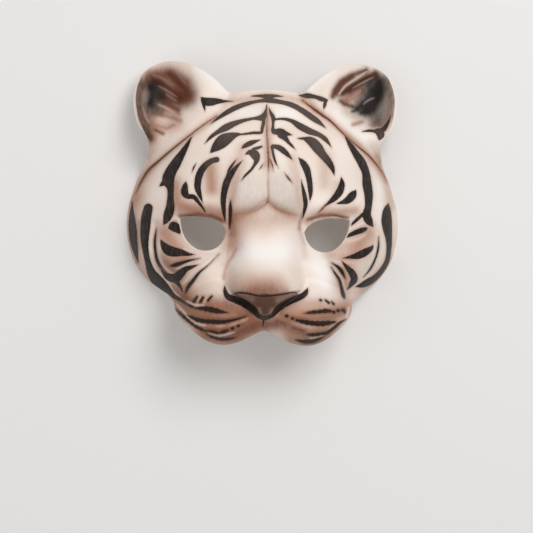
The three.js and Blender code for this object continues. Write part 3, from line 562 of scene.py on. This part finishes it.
def through(pairs):
    """A smooth function through (key, value) pairs, level at and beyond both ends."""
    keys, values = (np.array(column, float) for column in zip(*pairs))
    slopes = np.zeros(len(keys))
    slopes[1:-1] = (values[2:] - values[:-2]) / (keys[2:] - keys[:-2])

    def at(wanted):
        key = np.clip(wanted, keys[0], keys[-1])
        i = np.clip(np.searchsorted(keys, key, side="right") - 1, 0, len(keys) - 2)
        step = keys[i + 1] - keys[i]
        t = (key - keys[i]) / step
        bow = t * (1 - t) * step * (slopes[i] * (1 - t) - slopes[i + 1] * t)
        return values[i] + (values[i + 1] - values[i]) * t * t * (3 - 2 * t) + bow

    return at


dome_radius, dome_edge = through(DOME_RADIUS), through(DOME_EDGE)
nose_line, nose_half_width, nose_drop = through(NOSE_LINE), through(NOSE_HALF_WIDTH), through(NOSE_DROP)


def swelling(form, x, y):
    cx, cy, half_width, half_height, rise, power = form
    q = ((x - cx) / half_width) ** 2 + ((y - cy) / half_height) ** 2
    return rise * np.exp(-(q**power))


def distance_to_line(start, end, x, y):
    """How far points lie from a straight line, and what share of the line is passed there."""
    (ax, ay), (bx, by) = start, end
    dx, dy = bx - ax, by - ay
    t = np.clip(((x - ax) * dx + (y - ay) * dy) / (dx * dx + dy * dy + TINY), 0, 1)
    return np.hypot(x - ax - t * dx, y - ay - t * dy), t


def distance_to_path(path, x, y):
    nearest = np.full(np.shape(x), np.inf)
    for start, end in zip(path, path[1:]):
        nearest = np.minimum(nearest, distance_to_line(start, end, x, y)[0])
    return nearest


def brushed(path, half_width, x, y):
    """A soft mark along a path: 1 on it, fading to both sides."""
    return np.exp(-((distance_to_path(path, x, y) / half_width) ** 2))


def quarter_round(reach):
    return np.sqrt(1 - (DOME_SHARE * np.minimum(reach, 1)) ** DOME_POWER)


def dome(x, y):
    direction = np.degrees(np.arctan2(y, x))
    reach = np.hypot(x, y) / dome_radius(direction)
    edge = dome_edge(direction)
    rise = (quarter_round(reach) - quarter_round(1)) / (1 - quarter_round(1))
    return edge + (DOME_CROWN - edge) * rise - DOME_OUTSIDE * np.maximum(0, reach - 1)


def ear(x, y):
    plane = EAR["height"] + EAR["lean"][0] * (x - EAR["at"][0]) + EAR["lean"][1] * (y - EAR["at"][1])
    flange = FLANGE["drop"] * (1 - smooth_step(FLANGE["bottom"], FLANGE["top"], y))
    run_out = FLANGE["run_out"] * np.maximum(0, FLANGE["bottom"] - y)
    return plane + sum(swelling(form, x, y) for form in EAR_SWELLINGS) - flange - run_out


def pad(x, y):
    q = ((x - PAD["at"][0]) / PAD["half"][0]) ** 2 + ((y - PAD["at"][1]) / PAD["half"][1]) ** 2
    return PAD["base"] + PAD["rise"] * np.sqrt(np.maximum(0, 1 - q)) - PAD["outside"] * np.maximum(0, q - 1)


def nose(x, y):
    return nose_line(y) - nose_drop(y) * (x / nose_half_width(y)) ** NOSE_POWER


def height(x, y):
    """Height of the face over the table at points of the plan."""
    x = np.abs(x)
    above_flange = smooth_step(FLANGE["bottom"], FLANGE["top"], y)
    z = smooth_max(dome(x, y), ear(x, y), EAR["blend"] * np.maximum(EAR["least_blend"], above_flange))
    calm = smooth_step(0, SIDE_CALM, z)
    for form in FACE_SWELLINGS:
        z = z + calm * swelling(form, x, y)
    z = smooth_max(z, pad(x, y), PAD["blend"])
    z = smooth_max(z, nose(x, y), NOSE_BLEND)
    for path, depth, half_width in GROOVES:
        z = z - calm * depth * brushed(path, half_width, x, y)
    return np.maximum(z, 0)


def centripetal(points, per_span=OUTLINE_SPAN):
    """Points along a smooth curve through the given ones."""
    p = [np.array(point, float) for point in points]
    p = [2 * p[0] - p[1], *p, 2 * p[-1] - p[-2]]
    found = []
    for a, b, c, d in zip(p, p[1:], p[2:], p[3:]):
        ab, bc, cd = (max(np.linalg.norm(v - u) ** 0.5, 1e-4) for u, v in ((a, b), (b, c), (c, d)))
        start = ((b - a) / ab - (c - a) / (ab + bc) + (c - b) / bc) * bc
        end = ((c - b) / bc - (d - b) / (bc + cd) + (d - c) / cd) * bc
        for t in np.arange(per_span) / per_span:
            found.append(
                (2 * t**3 - 3 * t**2 + 1) * b + (t**3 - 2 * t**2 + t) * start + (3 * t**2 - 2 * t**3) * c
                + (t**3 - t**2) * end
            )
    return np.array([*found, p[-2]])


def evenly(points, step):
    """Points at even steps in space along a smooth curve on the face, without its last point."""
    fine = centripetal(points)
    z = height(fine[:, 0], fine[:, 1])
    lengths = np.r_[0, np.cumsum(np.linalg.norm(np.diff(np.c_[fine, z], axis=0), axis=1))]
    count = max(2, round(lengths[-1] / step))
    wanted = lengths[-1] * np.arange(count) / count
    return np.c_[np.interp(wanted, lengths, fine[:, 0]), np.interp(wanted, lengths, fine[:, 1])]


def dome_stretch(start, end):
    """Points along the dome's edge from one direction to another, in degrees."""
    directions = np.linspace(start, end, DOME_STEPS + 1)
    radii = dome_radius(directions)
    return list(zip(radii * np.cos(np.radians(directions)), radii * np.sin(np.radians(directions))))


def is_inside(loop, x, y):
    inside = np.zeros(np.shape(x), bool)
    for (ax, ay), (bx, by) in zip(loop, np.roll(loop, -1, axis=0)):
        if ay != by:
            inside ^= ((ay > y) != (by > y)) & (x < (bx - ax) * (y - ay) / (by - ay) + ax)
    return inside


brow = dome_stretch(*BROW_STRETCH)
rim = np.r_[
    evenly([*brow, EAR_OUTLINE[0]], EDGE_STEP),
    evenly([*EAR_OUTLINE, *dome_stretch(*SIDE_STRETCH), MUZZLE_OUTLINE[0]], EDGE_STEP),
    evenly(MUZZLE_OUTLINE, EDGE_STEP),
    [MUZZLE_OUTLINE[-1]],
]
rim[0, 0] = 0
rim_direction = np.degrees(np.arctan2(rim[:, 1], rim[:, 0]))
rim_radius = np.hypot(rim[:, 0], rim[:, 1])
eye_loop = np.r_[evenly(EYE_LID, EDGE_STEP), evenly(EYE_BELOW, EDGE_STEP)]


def outline_radius(x, y):
    return np.interp(-np.degrees(np.arctan2(y, np.abs(x))), -rim_direction, rim_radius)


def to_chart(points):
    """The plan with its steep sides spread out, so that even steps on it are nearly even on the face."""
    x, y = points[:, 0], points[:, 1]
    reach = np.hypot(x, y) / outline_radius(x, y)
    return points * (1 + CHART_SPREAD * reach**CHART_POWER)[:, None]


def from_chart(points):
    """Undoes to_chart, by ever closer guesses."""
    x, y = points[:, 0], points[:, 1]
    whole = np.hypot(x, y) / outline_radius(x, y)
    reach = whole / (1 + CHART_SPREAD)
    higher = CHART_POWER + 1
    for _ in range(CHART_TURNS):
        miss = reach + CHART_SPREAD * reach**higher - whole
        reach -= miss / (1 + higher * CHART_SPREAD * reach**CHART_POWER)
    return points * (reach / np.maximum(whole, TINY))[:, None]


def closed(loop):
    return np.r_[loop, loop[:1]]


def half_border(step):
    """The edge of the right half's plan: the rim, then points up the middle line."""
    bottom, top = rim[-1, 1], rim[0, 1]
    middle = bottom + (top - bottom) * np.linspace(0, 1, round((top - bottom) / step) + 1)[1:-1]
    return np.r_[rim, np.c_[np.zeros(len(middle)), middle]]


def half_plan(step):
    """Points and triangles of the right half's plan; the edge's points come first, then the eye's."""
    border = half_border(step)
    border_chart, eye_chart = to_chart(border), to_chart(eye_loop)
    columns = np.arange(0, CHART_WIDTH / step)
    rows = np.arange(-CHART_HALF_HEIGHT / step, CHART_HALF_HEIGHT / step)
    grid = np.array(
        [((c + 0.5 * (k % 2)) * step, (r * ROW_PITCH) * step) for k, r in enumerate(rows) for c in columns]
    )
    grid = grid[is_inside(border_chart, *grid.T) & ~is_inside(eye_chart, *grid.T)]
    clear = np.minimum(
        distance_to_path(closed(border_chart), *grid.T), distance_to_path(closed(eye_chart), *grid.T)
    )
    grid = grid[clear > EDGE_CLEAR * step]
    chart = np.r_[border_chart, eye_chart, grid]
    loops = [np.arange(len(border)), len(border) + np.arange(len(eye_loop))]
    edges = [(int(a), int(b)) for loop in loops for a, b in zip(loop, np.roll(loop, -1))]
    _, _, faces, origins, _, _ = delaunay_2d_cdt([tuple(p) for p in chart], edges, [], 0, SAME_POINT)
    origin = np.array([o[0] for o in origins])
    triangles = origin[np.array(faces)]
    centre = chart[triangles].mean(axis=1)
    triangles = triangles[is_inside(border_chart, *centre.T) & ~is_inside(eye_chart, *centre.T)]
    return np.r_[border, eye_loop, from_chart(grid)], triangles


def slope(x, y):
    across = height(x + NORMAL_REACH, y) - height(x - NORMAL_REACH, y)
    upwards = height(x, y + NORMAL_REACH) - height(x, y - NORMAL_REACH)
    return across / (2 * NORMAL_REACH), upwards / (2 * NORMAL_REACH)


def outwards(points):
    """Directions out of the face; on the rims that lie on the table they are level."""
    x, y = points.T
    inside = outline_radius(x, y) - RIM_CLEAR * NORMAL_REACH
    inward = np.clip(inside / np.maximum(np.hypot(x, y), TINY), 0, 1)
    dx, dy = slope(x * inward, y * inward)
    normals = np.c_[-dx, -dy, smooth_step(0, LEVEL_BELOW, height(x, y))]
    return normals / np.linalg.norm(normals, axis=1)[:, None]


def mirrored(points, triangles):
    """Both halves: the points, the triangles, and where each right point went on the left."""
    on_middle = np.abs(points[:, 0]) < ON_MIDDLE
    left = np.arange(len(points))
    left[~on_middle] = len(points) + np.arange((~on_middle).sum())
    whole = np.r_[points, points[~on_middle] * [-1, 1]]
    return whole, np.r_[triangles, left[triangles][:, ::-1]], left


def camera_axes():
    """The directions to the right of the picture, up in it, and out of it to the camera."""
    level = np.array([math.cos(CAMERA_ASIDE), 0, math.sin(CAMERA_ASIDE)])
    upright = np.array([0, 1, 0])
    right = level * math.cos(CAMERA_TURN) + upright * math.sin(CAMERA_TURN)
    up = upright * math.cos(CAMERA_TURN) - level * math.sin(CAMERA_TURN)
    return np.array([right, up, np.cross(right, up)])


def on_template(points, z):
    """Where points of the plan at heights z are seen on the template."""
    right, up, near = camera_axes() @ (np.c_[points + [0, PLAN_Y], z] - CAMERA_AIM).T
    scale = CAMERA_FAR / (CAMERA_FAR - near) / PICTURE_MM
    pixel_x, pixel_y = PICTURE / 2 + right * scale, PICTURE / 2 - up * scale
    return (pixel_x - TEMPLATE_CORNER[0]) / UNIT, (pixel_y - TEMPLATE_CORNER[1]) / UNIT


def stroke_distance(stroke, tx, ty, reach=STROKE_REACH, beads=0):
    """Signed distance to a brush stroke, below zero inside it, in template units."""
    line = centripetal(stroke, per_span=BEAD_SPAN if beads else STROKE_SPAN)
    lengths = np.r_[0, np.cumsum(np.hypot(*np.diff(line[:, :2], axis=0).T))]
    line[:, 2] *= 1 - beads + beads * np.cos(2 * math.pi * lengths / BEAD_PITCH)
    low, high = line.min(axis=0), line.max(axis=0)
    margin = reach + high[2]
    near = (tx > low[0] - margin) & (tx < high[0] + margin)
    near &= (ty > low[1] - margin) & (ty < high[1] + margin)
    found = np.full(tx.shape, float(reach))
    x, y = tx[near], ty[near]
    best = np.full(x.shape, float(reach))
    for (ax, ay, aw), (bx, by, bw) in zip(line, line[1:]):
        away, t = distance_to_line((ax, ay), (bx, by), x, y)
        best = np.minimum(best, away - (aw + (bw - aw) * t))
    found[near] = best
    return found


def nearest_stroke(strokes, tx, ty, beads=0):
    """Signed distance to the nearest of the strokes, in millimetres."""
    return np.min([stroke_distance(stroke, tx, ty, beads=beads) for stroke in strokes], axis=0) * UNIT_MM


def soft_strokes(strokes, tx, ty):
    """Airbrushed strokes laid over one another, from 0 to 1."""
    bare = np.ones(tx.shape)
    for path, half_width, strength in strokes:
        bare *= 1 - strength * brushed(path, half_width, tx, ty)
    return 1 - bare


def ridge_strokes(strokes, tx, ty):
    """Thin soft strokes that run out to a point at both ends."""
    bare = np.ones(tx.shape)
    for path, half_width, strength in strokes:
        line = centripetal(path, per_span=STROKE_SPAN)
        lengths = np.r_[0, np.cumsum(np.linalg.norm(np.diff(line, axis=0), axis=1))]
        swell = np.sqrt(np.sin(math.pi * np.clip(lengths / lengths[-1], 0, 1)))
        widths = half_width * (RIDGE_TIP + (1 - RIDGE_TIP) * swell)
        near = stroke_distance([(x, y, 0) for x, y in path], tx, ty, RIDGE_REACH) < RIDGE_SPREAD * half_width
        x, y = tx[near], ty[near]
        best = np.full(x.shape, RIDGE_FAR)
        for (ax, ay), (bx, by), width in zip(line, line[1:], (widths[1:] + widths[:-1]) / 2):
            best = np.minimum(best, distance_to_line((ax, ay), (bx, by), x, y)[0] / width)
        bare[near] *= 1 - strength * np.exp(-(best**2))
    return 1 - bare


def relief(tx, ty):
    found = np.zeros(tx.shape)
    for path, rise, half_width in RELIEF:
        found += rise * brushed(path, half_width, tx, ty)
    return found


def paint_fields(tx, ty, bare):
    """The paint's fields at points of the template, then on a number of bare points of raw foam."""
    strokes = {
        "ink": nearest_stroke(INK, tx, ty),
        "sepia": np.minimum(nearest_stroke(SEPIA, tx, ty), nearest_stroke(WHISKERS, tx, ty, BEAD_SHARE)),
        "rust": nearest_stroke(RUST, tx, ty),
        "leather": nearest_stroke(LEATHER, tx, ty),
    }
    washes = {"paler_ink_and_highlight": PALER_INK_AND_HIGHLIGHTS, "tan": TAN, "brown": BROWN, "shade": SHADE, "light": PAINTED_HIGHLIGHTS}
    washes = {name: soft_strokes(wash, tx, ty) for name, wash in washes.items()}
    # Pale hairs and the painted highlights on ridges.
    washes["ridge"] = ridge_strokes(PALE_HAIRS_AND_HIGHLIGHTS, tx, ty)
    fields = {name: np.r_[values, np.full(bare, STROKE_REACH * UNIT_MM)] for name, values in strokes.items()}
    fields |= {name: np.r_[values, np.zeros(bare)] for name, values in washes.items()}
    fields["raw"] = np.r_[np.zeros(len(tx)), np.ones(bare)]
    return fields


def over_table(points):
    points[:, 2] = np.maximum(points[:, 2], 0)
    return points


def edge_rings(start, end, is_loop, side):
    """Rows of points round a cut edge, between its line on the face and its line on the inner side."""
    along = np.gradient(start, axis=0)
    if is_loop:
        along = (np.roll(start, -1, axis=0) - np.roll(start, 1, axis=0)) / 2
    through_sheet = end - start
    out = np.cross(along, through_sheet) * side
    out /= np.linalg.norm(out, axis=1)[:, None] + TINY
    return [over_table(start + through_sheet * depth / SHEET + out * far) for far, depth in EDGE_ROUND]


def strip(upper, lower, is_loop, side):
    """Triangles between two rows of points."""
    next_upper, next_lower = np.roll(upper, -1), np.roll(lower, -1)
    quads = np.c_[upper, next_upper, next_lower, upper, next_lower, lower].reshape(-1, 2, 3)
    found = (quads if is_loop else quads[:-1]).reshape(-1, 3)
    return found if side == LEFT else found[:, ::-1]


def skin_mesh():
    """The whole skin: face, cut edges and inner side, with the paint's fields on its points."""
    face, face_triangles, face_left = mirrored(*half_plan(FACE_STEP))
    z = height(*face.T)
    tx, ty = on_template(face, z)
    lip = LIP_HEIGHT * brushed(closed(eye_loop), LIP_HALF_WIDTH, np.abs(face[:, 0]), face[:, 1])
    face_points = np.c_[face, z + smooth_step(0, SIDE_CALM, z) * (relief(tx, ty) + lip)]

    back, back_triangles, back_left = mirrored(*half_plan(BACK_STEP))
    back_points = over_table(np.c_[back, height(*back.T)] - SHEET * outwards(back))

    points = [face_points, back_points]
    triangles = [face_triangles, back_triangles[:, ::-1] + len(face)]
    count = len(face) + len(back)
    border, eye = np.arange(len(rim)), np.arange(len(eye_loop))
    eye_on_face, eye_on_back = len(half_border(FACE_STEP)) + eye, len(half_border(BACK_STEP)) + eye
    for right_face, right_back, is_loop in ((border, border, False), (eye_on_face, eye_on_back, True)):
        for side in (RIGHT, LEFT):
            on_face, on_back = right_face, right_back
            if side == LEFT:
                on_face, on_back = face_left[right_face], back_left[right_back]
            rows = [on_face]
            for ring in edge_rings(face_points[on_face], back_points[on_back], is_loop, side):
                points.append(ring)
                rows.append(count + np.arange(len(ring)))
                count += len(ring)
            rows.append(on_back + len(face))
            triangles += [strip(upper, lower, is_loop, side) for upper, lower in zip(rows, rows[1:])]
    return np.concatenate(points), np.concatenate(triangles), paint_fields(tx, ty, count - len(face))


def make_skin():
    points, triangles, fields = skin_mesh()
    place = (points + [0, PLAN_Y, 0]) * MM
    mesh = bpy.data.meshes.new("tiger_half_mask_skin")
    mesh.from_pydata(place.tolist(), [], triangles.tolist())
    for name, values in fields.items():
        attribute = mesh.attributes.new(name, "FLOAT", "POINT")
        attribute.data.foreach_set("value", values.astype(np.float32))
    mesh.shade_smooth()
    mesh.update()
    mesh.validate()
    skin = bpy.data.objects.new("tiger_half_mask_skin", mesh)
    bpy.context.scene.collection.objects.link(skin)
    return skin


def srgb(red, green, blue):
    """A colour of 0 to 255, made linear by the sRGB formula."""
    shares = [part / 255 for part in (red, green, blue)]
    return (*(c / 12.92 if c <= 0.04045 else ((c + 0.055) / 1.055) ** 2.4 for c in shares), 1)


CREAM = srgb(242, 228, 217)
CREAM_WARM = srgb(232, 212, 198)
# The white of the painted highlights.
HIGHLIGHT_WHITE = srgb(250, 246, 242)
# Pale hairs, and painted highlights along the raised ridges.
PALE_HAIR_AND_HIGHLIGHT_PAINT = srgb(232, 208, 194)
TAN_PAINT = srgb(176, 126, 101)
BROWN_PAINT = srgb(98, 53, 34)
SHADE_PAINT = srgb(28, 22, 19)
LEATHER_PAINT = srgb(96, 66, 53)
# The painted highlights on the nose's leather.
LEATHER_HIGHLIGHT = srgb(160, 134, 120)
SEPIA_PAINT = srgb(44, 30, 24)
INK_PAINT = srgb(36, 29, 26)
INK_WORN = srgb(64, 55, 51)
# Paler ink, also where the leather's painted highlights reach the nostrils.
INK_PALER = srgb(96, 83, 76)
RAW_FOAM = srgb(238, 226, 216)
FLOOR_GREY = srgb(236, 234, 232)

# The surface and its noise. A noise is its scale and its detail, and its middle value is NOISE_MIDDLE.
SATIN, SHEEN, FLOOR_ROUGHNESS = 0.52, 0.18, 0.9
CLOUD, FIBRE, GRAIN = (28, 2), (420, 4), (900, 2)
FIBRE_STRETCH = (1.6, 0.5, 1)
NOISE_MIDDLE = 0.5
CLOUD_RANGE, WORN_RANGE = (0.35, 0.75), (0.42, 0.75)
BUMP_STRENGTH, BUMP_DEPTH = 0.25, 0.0003

# How much noise breaks up each paint. A halo or body: the distances from the stroke's edge, in millimetres,
# at which it starts and is full, then its least and greatest strength where they aren't 0 and 1.
BROKEN = {"tan": 0.9, "brown": 1.6, "shade": 1.6, "leather": 0.45, "rust": 0.6, "sepia": 0.5, "ink": 0.5}
LEATHER_BODY = (0.6, -1.2)
RUST_HALO, RUST_BODY = (1.6, 0, 0, 0.3), (0.3, -0.5, 0, 0.95)
SEPIA_HALO, SEPIA_BODY = (1.5, 0, 0, 0.4), (0.3, -0.35)
INK_HALO, INK_BODY = (1.5, 0, 0, 0.3), (0.22, -0.3)

# The floor and the lights, in metres: a light's place, size and power.
FLOOR_SIZE = 6
KEY_LIGHT = ((0.5, 0.65, 1.5), 0.9, 15)
FILL_LIGHT = ((-0.9, -0.3, 1.3), 1.2, 3)
SKY, SKY_STRENGTH = (1, 1, 1, 1), 0.46


class Shader:
    """Short names for the nodes that the paint is mixed with."""

    def __init__(self, name, roughness):
        self.material = bpy.data.materials.new(name)
        self.material.use_nodes = True
        self.tree = self.material.node_tree
        self.surface = self.tree.nodes["Principled BSDF"]
        self.surface.inputs["Roughness"].default_value = roughness
        self.surface.inputs["Specular IOR Level"].default_value = SHEEN

    def node(self, kind, **settings):
        made = self.tree.nodes.new(kind)
        for key, value in settings.items():
            setattr(made, key, value)
        return made

    def link(self, value, socket):
        if isinstance(value, bpy.types.NodeSocket):
            self.tree.links.new(value, socket)
        else:
            socket.default_value = value

    def field(self, name):
        made = self.node("ShaderNodeAttribute", attribute_type="GEOMETRY", attribute_name=name)
        return made.outputs["Fac"]

    def noise(self, scale, detail, stretch=(1, 1, 1)):
        place = self.node("ShaderNodeTexCoord").outputs["Object"]
        mapping = self.node("ShaderNodeMapping")
        mapping.inputs["Scale"].default_value = stretch
        self.link(place, mapping.inputs["Vector"])
        made = self.node("ShaderNodeTexNoise")
        self.link(mapping.outputs["Vector"], made.inputs["Vector"])
        made.inputs["Scale"].default_value = scale
        made.inputs["Detail"].default_value = detail
        return made.outputs["Fac"]

    def math(self, operation, a, b=0.0, c=0.0):
        made = self.node("ShaderNodeMath", operation=operation)
        for value, socket in zip((a, b, c), made.inputs):
            self.link(value, socket)
        return made.outputs["Value"]

    def ramp(self, value, low, high, to_low=0.0, to_high=1.0):
        made = self.node("ShaderNodeMapRange", interpolation_type="SMOOTHSTEP")
        for given, socket in zip((value, low, high, to_low, to_high), made.inputs):
            self.link(given, socket)
        return made.outputs["Result"]

    def mix(self, share, a, b):
        made = self.node("ShaderNodeMix", data_type="RGBA")
        self.link(share, made.inputs["Factor"])
        self.link(a, made.inputs["A"])
        self.link(b, made.inputs["B"])
        return made.outputs["Result"]


def painted_foam():
    shader = Shader("painted_foam", SATIN)
    cloud = shader.noise(*CLOUD)
    fibre = shader.noise(*FIBRE, stretch=FIBRE_STRETCH)
    grain = shader.noise(*GRAIN)

    def soft(name):
        """A wash, broken up by the fibres where it is neither bare nor full."""
        field = shader.field(name)
        halfway = shader.math("MULTIPLY", field, shader.math("SUBTRACT", 1.0, field))
        fibres = shader.math("MULTIPLY", shader.math("SUBTRACT", fibre, NOISE_MIDDLE), BROKEN[name])
        return shader.math("MULTIPLY_ADD", fibres, halfway, field)

    def ragged(name):
        """A stroke's distance, made uneven by the grain."""
        grains = shader.math("SUBTRACT", grain, NOISE_MIDDLE)
        return shader.math("MULTIPLY_ADD", grains, BROKEN[name], shader.field(name))

    colour = shader.mix(shader.ramp(cloud, *CLOUD_RANGE), CREAM, CREAM_WARM)
    # Painted highlights where the light falls, mixed in white.
    colour = shader.mix(shader.field("light"), colour, HIGHLIGHT_WHITE)
    for name, paint in (("tan", TAN_PAINT), ("brown", BROWN_PAINT), ("shade", SHADE_PAINT)):
        colour = shader.mix(soft(name), colour, paint)
    # Pale hairs, and painted highlights on the raised ridges.
    colour = shader.mix(shader.field("ridge"), colour, PALE_HAIR_AND_HIGHLIGHT_PAINT)
    # The nose's leather, lightened by its painted highlights.
    leather = shader.mix(shader.field("paler_ink_and_highlight"), LEATHER_PAINT, LEATHER_HIGHLIGHT)
    colour = shader.mix(shader.ramp(ragged("leather"), *LEATHER_BODY), colour, leather)
    rust = ragged("rust")
    colour = shader.mix(shader.ramp(rust, *RUST_HALO), colour, TAN_PAINT)
    colour = shader.mix(shader.ramp(rust, *RUST_BODY), colour, BROWN_PAINT)
    sepia = ragged("sepia")
    colour = shader.mix(shader.ramp(sepia, *SEPIA_HALO), colour, BROWN_PAINT)
    colour = shader.mix(shader.ramp(sepia, *SEPIA_BODY), colour, SEPIA_PAINT)
    ink = ragged("ink")
    colour = shader.mix(shader.ramp(ink, *INK_HALO), colour, TAN_PAINT)
    ink_colour = shader.mix(shader.ramp(fibre, *WORN_RANGE), INK_PAINT, INK_WORN)
    # Paler ink, and painted highlights at the nostrils' edges.
    ink_colour = shader.mix(shader.field("paler_ink_and_highlight"), ink_colour, INK_PALER)
    colour = shader.mix(shader.ramp(ink, *INK_BODY), colour, ink_colour)
    colour = shader.mix(shader.field("raw"), colour, RAW_FOAM)
    shader.link(colour, shader.surface.inputs["Base Color"])
    bump = shader.node("ShaderNodeBump")
    bump.inputs["Strength"].default_value = BUMP_STRENGTH
    bump.inputs["Distance"].default_value = BUMP_DEPTH
    shader.link(fibre, bump.inputs["Height"])
    shader.link(bump.outputs["Normal"], shader.surface.inputs["Normal"])
    return shader.material


def plain(name, colour, roughness):
    shader = Shader(name, roughness)
    shader.surface.inputs["Base Color"].default_value = colour
    return shader.material


def make_floor():
    bpy.ops.mesh.primitive_plane_add(size=FLOOR_SIZE)
    floor = bpy.context.object
    floor.name = "floor"
    floor.data.materials.append(plain("floor", FLOOR_GREY, FLOOR_ROUGHNESS))
    return floor


def make_camera():
    camera = bpy.data.objects.new("camera", bpy.data.cameras.new("camera"))
    axes = camera_axes()
    camera.location = (CAMERA_AIM + CAMERA_FAR * axes[2]) * MM
    camera.rotation_euler = Matrix(axes.T.tolist()).to_euler()
    camera.data.sensor_width = SENSOR
    camera.data.lens = SENSOR * CAMERA_FAR / (PICTURE * PICTURE_MM)
    bpy.context.scene.collection.objects.link(camera)
    bpy.context.scene.camera = camera


def make_lights():
    def area(name, place, size, power):
        light = bpy.data.objects.new(name, bpy.data.lights.new(name, "AREA"))
        light.data.size = size
        light.data.energy = power
        light.location = place
        light.rotation_euler = (-light.location).to_track_quat("-Z", "Y").to_euler()
        bpy.context.scene.collection.objects.link(light)

    area("key", *KEY_LIGHT)
    area("fill", *FILL_LIGHT)
    world = bpy.data.worlds.new("studio")
    world.use_nodes = True
    world.node_tree.nodes["Background"].inputs["Color"].default_value = SKY
    world.node_tree.nodes["Background"].inputs["Strength"].default_value = SKY_STRENGTH
    bpy.context.scene.world = world
    bpy.context.scene.view_settings.view_transform = "Standard"


make_camera()
make_lights()
skin = make_skin()
skin.data.materials.append(painted_foam())
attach(skin, "root")
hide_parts("tiger_half_mask")
make_floor()
